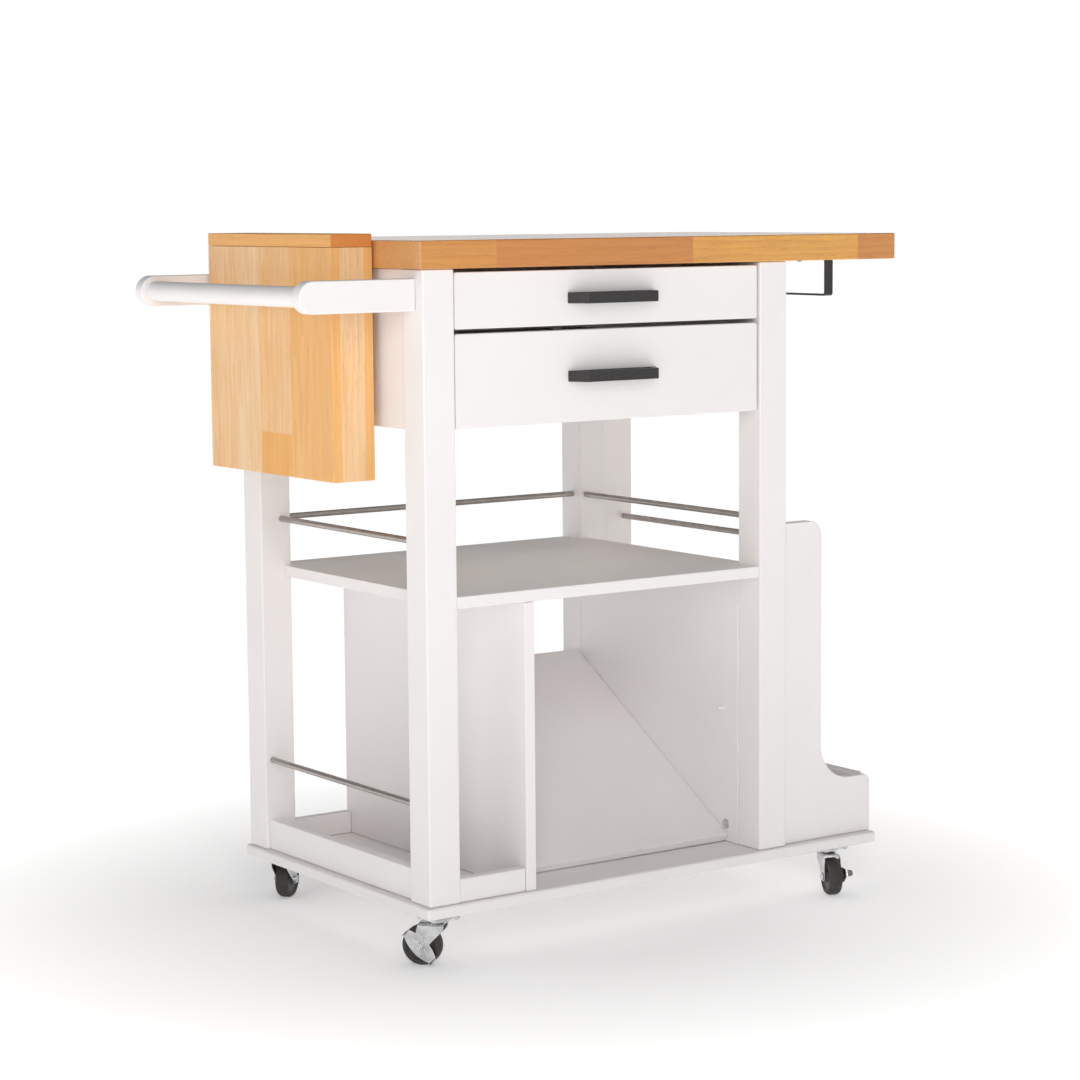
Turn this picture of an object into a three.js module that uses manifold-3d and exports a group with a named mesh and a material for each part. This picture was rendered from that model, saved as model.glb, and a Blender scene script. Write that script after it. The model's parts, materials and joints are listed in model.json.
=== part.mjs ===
// Kitchen island cart: a white lacquered trolley with a wooden worktop, two drawers, a push handle,
// a knife block and four swivel casters.
// Millimetres, +Z up. Shop coordinates start at the base board's front left corner, on the floor:
// X runs right, Y runs back. The finished group is shifted so that its origin lies on the floor
// under the middle of the whole cart.
import * as THREE from 'three';
import { mergeVertices } from 'three/addons/utils/BufferGeometryUtils.js';
import Module from 'manifold-3d';

const wasm = await Module();
wasm.setup();

// Driving dimensions
const ORIGIN = { x: 298, y: 218 };
const GAP = 0.3;
const BOARD = 15;
const EASE = 1;
const BASE = { length: 724, depth: 452, under: 63 };
const BASE_TOP = BASE.under + BOARD;
const TOP = { length: 752, depth: 452, thickness: 34, height: 887 };
const TOP_UNDER = TOP.height - TOP.thickness;
const LEG = { size: 45, left: 5, right: 523, front: 4, back: 403 };
const SHELF = { top: 457, left: 40, right: 538, front: 5, back: 440 };
const SHELF_UNDER = SHELF.top - BOARD;
const DIVIDER = { left: 149, front: 5, back: 436 };
const SLANT = { front: 69, thickness: 12, length: 400, angle: THREE.MathUtils.degToRad(31.5) };
const APRON = { under: 660, inset: 3, backFront: 425 };
const LIP = { leftX: 10, leftHeight: 41, frontY: 6, backY: 423, lowHeight: 30 };
const ROD = { radius: 4, socket: 4.4, depth: 10 };
const RODS = {
  upper: 519.5,
  rack: 480,
  lower: 198.5,
  upperLeftX: 36,
  backY: 422,
  innerX: 533,
  rackX: 622,
  lowerLeftX: 16,
};
const CHEEK = {
  left: 568,
  width: 68.5,
  height: 509,
  topRadius: 21,
  sweep: 50,
  footTop: 156.5,
  footRight: 723.5,
  footRadius: 11,
  frontY: 12,
  backY: 433,
};
const DRAWER = { clearance: 2.5, front: 7, boxBack: 392, side: 12, bottom: 4, slideRoom: 12.7 };
const DRAWERS = [
  { name: 'upper', bottom: 780, top: 848.5, boxBottom: 788, boxTop: 838, slide: 811, pull: 814 },
  { name: 'lower', bottom: 660.5, top: 774.5, boxBottom: 670, boxTop: 758, slide: 700, pull: 717.5 },
];
const SLIDE = { start: 26, fixedEnd: 424, height: 34, inner: 28, sheet: 1.2, reach: 8, innerReach: 9.5 };
const PULL = { base: 68.3, face: 54.3, reach: 25, height: 13.5, bar: 8, footInner: 58.5, faceInner: 47.5 };
const BLOCK = { left: -62, right: -3, front: 103, back: 408, bottom: 595, top: 895, cap: 16, wall: 12 };
const SPACER = { front: 143, back: 363, height: 30, levels: [690, 800] };
const SLOT = { count: 6, width: 6, length: 38, pitch: 44, first: 145.5 };
const HANDLE = { tip: -155.5, height: 39, bottom: 803, thickness: 18, frontY: 19, backY: 414, bar: 12.5 };
const RAIL = { left: 716, width: 14, front: 100, back: 352, bottom: 802, sheet: 2.5, flange: 72, bend: 3 };
const CASTER = {
  plate: 42,
  plateSheet: 2.5,
  race: 16,
  trail: 20,
  radius: 25,
  width: 18,
  bore: 3.2,
  axle: 3,
  sheet: 2,
  forkTop: 55,
  forkRoom: 1.25,
  forkFront: -10,
  forkBack: 22,
  pin: 4,
  hole: 4.5,
};
const CASTERS = [
  { name: 'front_left', x: 29, y: 24, heading: 130.5, lever: 45 },
  { name: 'front_right', x: 659, y: 25, heading: -114, lever: 20 },
  { name: 'back_left', x: 40, y: 427, heading: 39 },
  { name: 'back_right', x: 659, y: 427, heading: 20 },
];
const LEVER = { half: 24.5, width: 22, sheet: 1.5, flap: 9, tip: 4, flapHalf: 4.5 };

// Materials
const material = (name, color, roughness, metalness) =>
  new THREE.MeshStandardMaterial({ name, color, roughness, metalness });
const LACQUER = material('white_lacquer', 0xefedea, 0.45, 0);
const WORKTOP_WOOD = material('worktop_wood', 0xd08a48, 0.4, 0);
const BLOCK_WOOD = material('block_wood', 0xe2b26c, 0.45, 0);
const STEEL_ROD = material('steel_rod', 0xb4b0aa, 0.35, 1);
const BLACK_METAL = material('black_metal', 0x24211f, 0.45, 0.4);
const ZINC = material('zinc_plate', 0xb8bcc0, 0.3, 1);
const RUBBER = material('wheel_rubber', 0x2b2725, 0.7, 0);
const SLIDE_STEEL = material('slide_steel', 0xc9c9c6, 0.4, 0.8);
const DRAWER_BOARD = material('drawer_board', 0xe9e4db, 0.6, 0);

const shop = new THREE.Group();
shop.position.set(-ORIGIN.x, -ORIGIN.y, 0);

function place(name, geometry, finish, parent = shop) {
  const mesh = new THREE.Mesh(geometry, finish);
  mesh.name = name;
  parent.add(mesh);
  return mesh;
}

// A closed geometry as a solid for joining and cutting, and back again.
function solid(geometry) {
  const bare = geometry.index ? geometry.toNonIndexed() : geometry.clone();
  bare.deleteAttribute('normal');
  bare.deleteAttribute('uv');
  const merged = mergeVertices(bare, 1e-4);
  const mesh = new wasm.Mesh({
    numProp: 3,
    vertProperties: new Float32Array(merged.attributes.position.array),
    triVerts: new Uint32Array(merged.index.array),
  });
  return new wasm.Manifold(mesh);
}

function geometryOf(body) {
  const mesh = body.getMesh();
  const geometry = new THREE.BufferGeometry();
  geometry.setAttribute('position', new THREE.BufferAttribute(new Float32Array(mesh.vertProperties), 3));
  geometry.setIndex(Array.from(mesh.triVerts));
  return geometry;
}

const join = (...parts) => geometryOf(parts.map(solid).reduce((sum, part) => sum.add(part)));
const cut = (body, ...tools) =>
  geometryOf(tools.map(solid).reduce((left, tool) => left.subtract(tool), solid(body)));

// An outline from [x, y] points.
function outline(points) {
  return new THREE.Shape(points.map(([x, y]) => new THREE.Vector2(x, y)));
}

// A plain box between two corners.
function block(low, high) {
  const size = high.map((value, i) => value - low[i]);
  const geometry = new THREE.BoxGeometry(...size);
  geometry.translate(...high.map((value, i) => (value + low[i]) / 2));
  return geometry;
}

// A board between two corners with every edge eased by a small flat.
function board(low, high, ease = EASE) {
  const [width, depth, height] = high.map((value, i) => value - low[i]);
  const flat = outline([
    [ease, 0],
    [width - ease, 0],
    [width, ease],
    [width, depth - ease],
    [width - ease, depth],
    [ease, depth],
    [0, depth - ease],
    [0, ease],
  ]);
  const geometry = new THREE.ExtrudeGeometry(flat, {
    depth: height - 2 * ease,
    bevelEnabled: true,
    bevelThickness: ease,
    bevelSize: ease,
    bevelOffset: -ease,
    bevelSegments: 1,
  });
  geometry.translate(low[0], low[1], low[2] + ease);
  return geometry;
}

// An outline drawn in X and Z, pushed back along Y from front to back.
function upright(shape, front, back) {
  const geometry = new THREE.ExtrudeGeometry(shape, {
    depth: back - front,
    bevelEnabled: false,
    curveSegments: 8,
  });
  geometry.rotateX(Math.PI / 2);
  geometry.translate(0, back, 0);
  return geometry;
}

// A round bar between two points that differ along one axis only.
function bar(from, to, radius, sides = 16) {
  const start = new THREE.Vector3(...from);
  const end = new THREE.Vector3(...to);
  const geometry = new THREE.CylinderGeometry(radius, radius, start.distanceTo(end), sides);
  const turn = new THREE.Quaternion().setFromUnitVectors(
    new THREE.Vector3(0, 1, 0),
    end.clone().sub(start).normalize(),
  );
  geometry.applyQuaternion(turn);
  const middle = start.add(end).multiplyScalar(0.5);
  geometry.translate(middle.x, middle.y, middle.z);
  return geometry;
}

// Rods and their blind sockets in the legs and cheeks
const legBack = LEG.front + LEG.size;
const rodRuns = {
  rod_upper_left: [
    [RODS.upperLeftX, legBack, RODS.upper],
    [RODS.upperLeftX, LEG.back, RODS.upper],
  ],
  rod_back: [
    [LEG.left + LEG.size, RODS.backY, RODS.upper],
    [LEG.right, RODS.backY, RODS.upper],
  ],
  rod_right_inner: [
    [RODS.innerX, legBack, RODS.upper],
    [RODS.innerX, LEG.back, RODS.upper],
  ],
  rod_rack_outer: [
    [RODS.rackX, CHEEK.frontY + BOARD, RODS.rack],
    [RODS.rackX, CHEEK.backY, RODS.rack],
  ],
  rod_lower_left: [
    [RODS.lowerLeftX, legBack, RODS.lower],
    [RODS.lowerLeftX, LEG.back, RODS.lower],
  ],
};

// A run lengthened at both ends, so that a rod or its socket reaches into the wood.
function lengthened([from, to], extra) {
  const step = from.map((value, i) => Math.sign(to[i] - value) * extra);
  return [from.map((value, i) => value - step[i]), to.map((value, i) => value + step[i])];
}

const SOCKET_SIDES = 12;
const sockets = Object.values(rodRuns).map((run) =>
  bar(...lengthened(run, ROD.depth + GAP), ROD.socket, SOCKET_SIDES),
);

function makeRods() {
  for (const [name, run] of Object.entries(rodRuns)) {
    place(name, bar(...lengthened(run, ROD.depth), ROD.radius), STEEL_ROD);
  }
}

function makeLegs() {
  for (const [side, x] of [['left', LEG.left], ['right', LEG.right]]) {
    for (const [end, y] of [['front', LEG.front], ['back', LEG.back]]) {
      const post = board(
        [x, y, BASE_TOP + GAP],
        [x + LEG.size, y + LEG.size, TOP_UNDER - GAP],
        1.5,
      );
      place(`leg_${end}_${side}`, cut(post, ...sockets), LACQUER);
    }
  }
}

function makeWorktop() {
  place('worktop', board([0, 0, TOP_UNDER], [TOP.length, TOP.depth, TOP.height], 2), WORKTOP_WOOD);
}

function makeBase() {
  place('base_board', board([0, 0, BASE.under], [BASE.length, BASE.depth, BASE_TOP], 1.5), LACQUER);
}

// The shelf reaches past the legs' inner faces, with a notch at each leg.
function makeShelf() {
  const inLeft = LEG.left + LEG.size + GAP;
  const inRight = LEG.right - GAP;
  const inFront = legBack + GAP;
  const inBack = LEG.back - GAP;
  const shape = outline([
    [inLeft, SHELF.front],
    [inRight, SHELF.front],
    [inRight, inFront],
    [SHELF.right, inFront],
    [SHELF.right, inBack],
    [inRight, inBack],
    [inRight, SHELF.back],
    [inLeft, SHELF.back],
    [inLeft, inBack],
    [SHELF.left, inBack],
    [SHELF.left, inFront],
    [inLeft, inFront],
  ]);
  const geometry = new THREE.ExtrudeGeometry(shape, { depth: BOARD, bevelEnabled: false });
  geometry.translate(0, 0, SHELF_UNDER);
  place('middle_shelf', geometry, LACQUER);
}

function makeUprights() {
  const low = BASE_TOP + GAP;
  const high = SHELF_UNDER - GAP;
  const dividerRight = DIVIDER.left + BOARD;
  place('divider', board([DIVIDER.left, DIVIDER.front, low], [dividerRight, DIVIDER.back, high]), LACQUER);
  place(
    'right_panel',
    board([LEG.right, legBack + GAP, low], [LEG.right + BOARD, LEG.back - GAP, high]),
    LACQUER,
  );
}

// The board is built flat, tipped up about its lower front edge and set down on the base.
function makeSlantedBoard() {
  const left = DIVIDER.left + BOARD + GAP;
  const right = LEG.right - GAP;
  const geometry = board([left, 0, 0], [right, SLANT.length, SLANT.thickness]);
  geometry.rotateX(SLANT.angle);
  const rise = SLANT.thickness * Math.sin(SLANT.angle);
  geometry.translate(0, SLANT.front + rise, BASE_TOP + GAP);
  place('slanted_board', geometry, LACQUER);
}

function makeAprons() {
  const high = TOP_UNDER - GAP;
  const leftX = LEG.left + APRON.inset;
  const rightX = LEG.right + LEG.size - APRON.inset;
  const frontY = legBack + GAP;
  const backY = LEG.back - GAP;
  place('apron_left', board([leftX, frontY, APRON.under], [leftX + BOARD, backY, high]), LACQUER);
  place('apron_right', board([rightX - BOARD, frontY, APRON.under], [rightX, backY, high]), LACQUER);
  place(
    'apron_back',
    board(
      [LEG.left + LEG.size + GAP, APRON.backFront, APRON.under],
      [LEG.right - GAP, APRON.backFront + BOARD, high],
    ),
    LACQUER,
  );
}

function makeLips() {
  const low = BASE_TOP + GAP;
  const innerLeft = LEG.left + LEG.size + GAP;
  const innerRight = DIVIDER.left - GAP;
  place(
    'lip_left',
    board([LIP.leftX, legBack + GAP, low], [LIP.leftX + BOARD, LEG.back - GAP, BASE_TOP + LIP.leftHeight]),
    LACQUER,
  );
  for (const [name, y] of [['lip_front', LIP.frontY], ['lip_back', LIP.backY]]) {
    place(name, board([innerLeft, y, low], [innerRight, y + BOARD, BASE_TOP + LIP.lowHeight]), LACQUER);
  }
}

// A rack cheek: an upright that sweeps out in a quarter round to a low foot. Its top is rounded at
// the outer corner, or square where it meets the worktop.
function cheekShape(top, topRadius) {
  const left = CHEEK.left + GAP;
  const right = CHEEK.left + CHEEK.width;
  const low = BASE_TOP + GAP;
  const shape = new THREE.Shape();
  shape.moveTo(left, low);
  shape.lineTo(CHEEK.footRight, low);
  shape.lineTo(CHEEK.footRight, CHEEK.footTop - CHEEK.footRadius);
  shape.absarc(
    CHEEK.footRight - CHEEK.footRadius,
    CHEEK.footTop - CHEEK.footRadius,
    CHEEK.footRadius,
    0,
    Math.PI / 2,
    false,
  );
  shape.lineTo(right + CHEEK.sweep, CHEEK.footTop);
  shape.absarc(right + CHEEK.sweep, CHEEK.footTop + CHEEK.sweep, CHEEK.sweep, -Math.PI / 2, -Math.PI, true);
  if (topRadius > 0) {
    shape.lineTo(right, top - topRadius);
    shape.absarc(right - topRadius, top - topRadius, topRadius, 0, Math.PI / 2, false);
  } else {
    shape.lineTo(right, top);
  }
  shape.lineTo(left, top);
  return shape;
}

function makeRack() {
  const front = upright(cheekShape(CHEEK.height, CHEEK.topRadius), CHEEK.frontY, CHEEK.frontY + BOARD);
  const back = upright(cheekShape(TOP_UNDER - GAP, 0), CHEEK.backY, CHEEK.backY + BOARD);
  place('cheek_front', cut(front, ...sockets), LACQUER);
  place('cheek_back', cut(back, ...sockets), LACQUER);
  place(
    'rack_outer_board',
    board(
      [CHEEK.footRight - BOARD, CHEEK.frontY + BOARD + GAP, BASE_TOP + GAP],
      [CHEEK.footRight, CHEEK.backY - GAP, CHEEK.footTop],
    ),
    LACQUER,
  );
}

// A bent flat bar: the centre line's offsets on both sides, with round bends, as one outline.
function stripShape(line, sheet, bend) {
  const sides = [[], []];
  const last = line.length - 1;
  line.forEach((point, i) => {
    const here = new THREE.Vector2(...point);
    const into = i > 0 ? here.clone().sub(new THREE.Vector2(...line[i - 1])).normalize() : null;
    const away = i < last ? new THREE.Vector2(...line[i + 1]).sub(here).normalize() : null;
    if (!into || !away) {
      const along = into ?? away;
      const across = new THREE.Vector2(-along.y, along.x);
      sides[0].push(here.clone().addScaledVector(across, sheet / 2));
      sides[1].push(here.clone().addScaledVector(across, -sheet / 2));
      return;
    }
    const turn = Math.sign(into.x * away.y - into.y * away.x);
    const normal = new THREE.Vector2(-into.y, into.x).multiplyScalar(turn);
    const centre = here.clone().addScaledVector(into, -bend).addScaledVector(normal, bend);
    const steps = 4;
    for (let k = 0; k <= steps; k += 1) {
      const angle = (k / steps) * (Math.PI / 2) * turn;
      const spoke = normal.clone().negate().rotateAround(new THREE.Vector2(), angle);
      sides[0].push(centre.clone().addScaledVector(spoke, bend - (turn * sheet) / 2));
      sides[1].push(centre.clone().addScaledVector(spoke, bend + (turn * sheet) / 2));
    }
  });
  return new THREE.Shape([...sides[0], ...sides[1].reverse()]);
}

function makeTowelRail() {
  const half = RAIL.sheet / 2;
  const top = TOP_UNDER - GAP - half;
  const low = RAIL.bottom + half;
  const front = RAIL.front + half;
  const back = RAIL.back - half;
  const shape = stripShape(
    [
      [front + RAIL.flange, top],
      [front, top],
      [front, low],
      [back, low],
      [back, top],
      [back - RAIL.flange, top],
    ],
    RAIL.sheet,
    RAIL.bend,
  );
  const geometry = new THREE.ExtrudeGeometry(shape, { depth: RAIL.width, bevelEnabled: false });
  // The outline's X and Y become the cart's Y and Z, and the depth runs along X.
  geometry.rotateX(Math.PI / 2);
  geometry.rotateZ(Math.PI / 2);
  geometry.translate(RAIL.left, 0, 0);
  place('towel_rail', geometry, BLACK_METAL);
}

function makeHandle() {
  const radius = HANDLE.height / 2;
  const middle = HANDLE.bottom + radius;
  const shape = new THREE.Shape();
  shape.moveTo(LEG.left - GAP, HANDLE.bottom);
  shape.lineTo(LEG.left - GAP, HANDLE.bottom + HANDLE.height);
  shape.absarc(HANDLE.tip + radius, middle, radius, Math.PI / 2, (3 * Math.PI) / 2, false);
  const armBack = HANDLE.frontY + HANDLE.thickness;
  place('handle_arm_front', upright(shape, HANDLE.frontY, armBack), LACQUER);
  place('handle_arm_back', upright(shape, HANDLE.backY, HANDLE.backY + HANDLE.thickness), LACQUER);
  const x = HANDLE.tip + radius;
  place(
    'handle_bar',
    bar([x, armBack + GAP, middle], [x, HANDLE.backY - GAP, middle], HANDLE.bar, 32),
    LACQUER,
  );
}

// The knife block is a hollow box with two spacer strips on its back, closed by a slotted cap.
function makeKnifeBlock() {
  const capUnder = BLOCK.top - BLOCK.cap;
  const body = board([BLOCK.left, BLOCK.front, BLOCK.bottom], [BLOCK.right, BLOCK.back, capUnder - GAP]);
  const hollow = block(
    [BLOCK.left + BLOCK.wall, BLOCK.front + BLOCK.wall, BLOCK.bottom + BLOCK.wall],
    [BLOCK.right - BLOCK.wall, BLOCK.back - BLOCK.wall, BLOCK.top],
  );
  const stripRight = LEG.left + APRON.inset - GAP;
  const strips = SPACER.levels.map((z) =>
    block([BLOCK.right - 1, SPACER.front, z], [stripRight, SPACER.back, z + SPACER.height]),
  );
  place('knife_block', cut(join(body, ...strips), hollow), BLOCK_WOOD);
  const cap = board([BLOCK.left, BLOCK.front, capUnder], [BLOCK.right, BLOCK.back, BLOCK.top]);
  const middle = (BLOCK.left + BLOCK.right) / 2;
  const slots = Array.from({ length: SLOT.count }, (unused, i) => {
    const y = SLOT.first + i * SLOT.pitch;
    return block(
      [middle - SLOT.length / 2, y - SLOT.width / 2, capUnder - 1],
      [middle + SLOT.length / 2, y + SLOT.width / 2, BLOCK.top + 1],
    );
  });
  place('knife_block_cap', cut(cap, ...slots), BLOCK_WOOD);
}

function makePull(drawer, middleX) {
  const shape = outline([
    [-PULL.base, 0],
    [-PULL.face, -PULL.reach],
    [PULL.face, -PULL.reach],
    [PULL.base, 0],
    [PULL.footInner, 0],
    [PULL.faceInner, PULL.bar - PULL.reach],
    [-PULL.faceInner, PULL.bar - PULL.reach],
    [-PULL.footInner, 0],
  ]);
  const geometry = new THREE.ExtrudeGeometry(shape, { depth: PULL.height, bevelEnabled: false });
  geometry.translate(middleX, DRAWER.front - GAP, drawer.pull - PULL.height / 2);
  place(`pull_${drawer.name}`, geometry, BLACK_METAL);
}

// Slide members are facing channels. The fixed one opens towards the drawer, and the moving one
// nests inside it. Hand is +1 on the left side and -1 on the right.
function slideMember(wall, hand, reach, height, z, start, end) {
  const half = height / 2;
  const inside = half - SLIDE.sheet;
  const web = wall + hand * SLIDE.sheet;
  const lips = wall + hand * reach;
  const shape = outline([
    [wall, z - half],
    [lips, z - half],
    [lips, z - inside],
    [web, z - inside],
    [web, z + inside],
    [lips, z + inside],
    [lips, z + half],
    [wall, z + half],
  ]);
  return upright(shape, start, end);
}

function makeDrawer(drawer) {
  const left = LEG.left + LEG.size;
  const right = LEG.right;
  const frontBack = DRAWER.front + BOARD;
  const boxFront = frontBack + GAP;
  const boxLeft = left + DRAWER.slideRoom;
  const boxRight = right - DRAWER.slideRoom;
  place(
    `drawer_front_${drawer.name}`,
    board(
      [left + DRAWER.clearance, DRAWER.front, drawer.bottom],
      [right - DRAWER.clearance, frontBack, drawer.top],
    ),
    LACQUER,
  );
  const walls = block([boxLeft, boxFront, drawer.boxBottom], [boxRight, DRAWER.boxBack, drawer.boxTop]);
  const room = block(
    [boxLeft + DRAWER.side, boxFront + DRAWER.side, drawer.boxBottom - 1],
    [boxRight - DRAWER.side, DRAWER.boxBack - DRAWER.side, drawer.boxTop + 1],
  );
  place(`drawer_box_${drawer.name}`, cut(walls, room), DRAWER_BOARD);
  place(
    `drawer_bottom_${drawer.name}`,
    block(
      [boxLeft, boxFront, drawer.boxBottom - GAP - DRAWER.bottom],
      [boxRight, DRAWER.boxBack, drawer.boxBottom - GAP],
    ),
    DRAWER_BOARD,
  );
  for (const [side, hand, post, box] of [['left', 1, left, boxLeft], ['right', -1, right, boxRight]]) {
    place(
      `slide_fixed_${drawer.name}_${side}`,
      slideMember(
        post + hand * GAP,
        hand,
        SLIDE.reach,
        SLIDE.height,
        drawer.slide,
        SLIDE.start,
        SLIDE.fixedEnd,
      ),
      SLIDE_STEEL,
    );
    place(
      `slide_moving_${drawer.name}_${side}`,
      slideMember(
        box - hand * GAP,
        -hand,
        SLIDE.innerReach,
        SLIDE.inner,
        drawer.slide,
        SLIDE.start,
        DRAWER.boxBack,
      ),
      SLIDE_STEEL,
    );
  }
  makePull(drawer, (left + right) / 2);
}

// Sizes inside the casters
const KING_PIN = { head: 7, foot: 6, drop: 5 };
const BOSS = 6.5;
const NUT = { radius: 5, depth: 4, thread: 2 };
const HUB = { edge: 8, dish: 9, rim: 17, shoulder: 19, dishDepth: 1.5 };
const TREAD = { flank: 22, curve: 24, curveIn: 2.5, crownIn: 6 };

// Casters are built with the swivel axis at the origin and the wheel trailing along +X.
// The top plate carries the ball race and the headed king pin that holds the fork.
function casterPlate() {
  const half = CASTER.plate / 2;
  const top = BASE.under - GAP;
  const plate = board([-half, -half, top - CASTER.plateSheet], [half, half, top]);
  const headTop = CASTER.forkTop - CASTER.sheet - GAP;
  const profile = [
    [0, CASTER.forkTop - KING_PIN.drop],
    [KING_PIN.foot, CASTER.forkTop - KING_PIN.drop],
    [KING_PIN.head, headTop],
    [CASTER.pin, headTop],
    [CASTER.pin, CASTER.forkTop + GAP],
    [CASTER.race - 2, CASTER.forkTop + GAP],
    [CASTER.race, CASTER.forkTop + 2],
    [CASTER.race, top - 1],
    [0, top - 1],
  ];
  const race = new THREE.LatheGeometry(profile.map(([r, z]) => new THREE.Vector2(r, z)), 20);
  race.rotateX(Math.PI / 2);
  return join(plate, race);
}

// One fork cheek: a plate with a straight trailing edge, tapering from the crown to the axle.
function forkCheek() {
  const { forkTop, forkFront, forkBack, trail, radius } = CASTER;
  const shoulder = forkTop - 8;
  const shape = new THREE.Shape();
  shape.moveTo(forkFront, forkTop);
  shape.lineTo(forkFront, shoulder);
  shape.lineTo(trail - BOSS * 0.8, radius - BOSS * 0.6);
  shape.absarc(trail, radius, BOSS, Math.PI * 1.2, Math.PI * 2, false);
  shape.lineTo(forkBack + 3, shoulder);
  shape.lineTo(forkBack, forkTop);
  return shape;
}

// The fork is a folded crown with two cheeks and the axle bolt. A brake lever, if there is one,
// sits between the cheek and the nut on the +Y side.
function casterFork(braked) {
  const { forkTop, forkFront, forkBack, sheet, trail, radius, axle, hole } = CASTER;
  const inner = CASTER.width / 2 + CASTER.forkRoom;
  const outer = inner + sheet;
  const near = upright(forkCheek(), inner, outer);
  const far = upright(forkCheek(), -outer, -inner);
  const crown = block([forkFront, -outer, forkTop - sheet], [forkBack, outer, forkTop]);
  const nutStart = braked ? outer + 2 * GAP + LEVER.sheet : outer - 0.5;
  const nutEnd = nutStart + NUT.depth;
  const headEnd = -outer - 2.5;
  const bolt = bar([trail, headEnd + 0.5, radius], [trail, nutEnd + NUT.thread, radius], axle, 20);
  const nut = bar([trail, nutStart, radius], [trail, nutEnd, radius], NUT.radius, 6);
  const head = bar([trail, headEnd, radius], [trail, 0.5 - outer, radius], NUT.radius, 12);
  const pinHole = bar([0, 0, forkTop - sheet - 2], [0, 0, forkTop + 2], hole, 20);
  return cut(join(crown, near, far, bolt, nut, head), pinHole);
}

// The wheel turns about Y. Its flanks are dished between the hub and the tread.
function casterWheel() {
  const half = CASTER.width / 2;
  const profile = [
    [CASTER.bore, -half],
    [HUB.edge, -half],
    [HUB.dish, HUB.dishDepth - half],
    [HUB.rim, HUB.dishDepth - half],
    [HUB.shoulder, -half],
    [TREAD.flank, -half],
    [TREAD.curve, TREAD.curveIn - half],
    [CASTER.radius, TREAD.crownIn - half],
  ];
  const mirrored = profile.map(([r, y]) => [r, -y]).reverse();
  const closed = [...profile, ...mirrored, profile[0]];
  return new THREE.LatheGeometry(closed.map(([r, y]) => new THREE.Vector2(r, y)), 32);
}

// The brake lever is a leaf-shaped plate on the axle with a foot flap bent out at each end.
// Tilt raises its trailing end.
function brakeLever(tilt) {
  const { half, width, sheet, flap, tip, flapHalf } = LEVER;
  const near = CASTER.width / 2 + CASTER.forkRoom + CASTER.sheet + GAP;
  const far = near + sheet;
  const shoulder = [half * 0.6, width * 0.42];
  const quarter = [[half, tip], shoulder, [0, width / 2]];
  const upper = [...quarter, [-shoulder[0], shoulder[1]], [-half, tip]];
  const lower = upper.map(([x, z]) => [-x, -z]);
  const leaf = upright(outline([...upper, ...lower]), near, far);
  const flaps = [-1, 1].map((end) => {
    const edges = [end * half, end * (half - sheet)].sort((a, b) => a - b);
    return block([edges[0], near + sheet / 2, -flapHalf], [edges[1], near + flap, flapHalf]);
  });
  const hole = bar([0, near - 1, 0], [0, far + 1, 0], CASTER.axle + GAP, 20);
  const geometry = cut(join(leaf, ...flaps), hole);
  geometry.rotateY(-THREE.MathUtils.degToRad(tilt));
  return geometry;
}

function makeCaster(caster) {
  const braked = caster.lever !== undefined;
  const mounting = new THREE.Group();
  mounting.position.set(caster.x, caster.y, 0);
  shop.add(mounting);
  place(`caster_plate_${caster.name}`, casterPlate(), ZINC, mounting);
  const swivel = new THREE.Group();
  swivel.rotation.z = THREE.MathUtils.degToRad(caster.heading);
  mounting.add(swivel);
  place(`caster_fork_${caster.name}`, casterFork(braked), ZINC, swivel);
  const wheel = place(`caster_wheel_${caster.name}`, casterWheel(), RUBBER, swivel);
  wheel.position.set(CASTER.trail, 0, CASTER.radius);
  if (braked) {
    const lever = place(`brake_lever_${caster.name}`, brakeLever(caster.lever), ZINC, swivel);
    lever.position.set(CASTER.trail, 0, CASTER.radius);
  }
}

makeWorktop();
makeLegs();
makeBase();
makeShelf();
makeUprights();
makeSlantedBoard();
makeAprons();
makeLips();
makeRack();
makeRods();
makeTowelRail();
makeHandle();
makeKnifeBlock();
DRAWERS.forEach(makeDrawer);
CASTERS.forEach(makeCaster);

const cart = new THREE.Group();
cart.add(shop);

export default cart;
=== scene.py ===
# %% [markdown]
# # Kitchen island cart
# A white lacquered trolley with a butcher-block worktop, two drawers, an open side rack, a push
# handle, a knife block and four casters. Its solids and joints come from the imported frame. These
# cells give every solid its final surface and finish, and add the small fasteners.

import json
import math

import bpy
import numpy as np
from mathutils import Matrix, Vector

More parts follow.
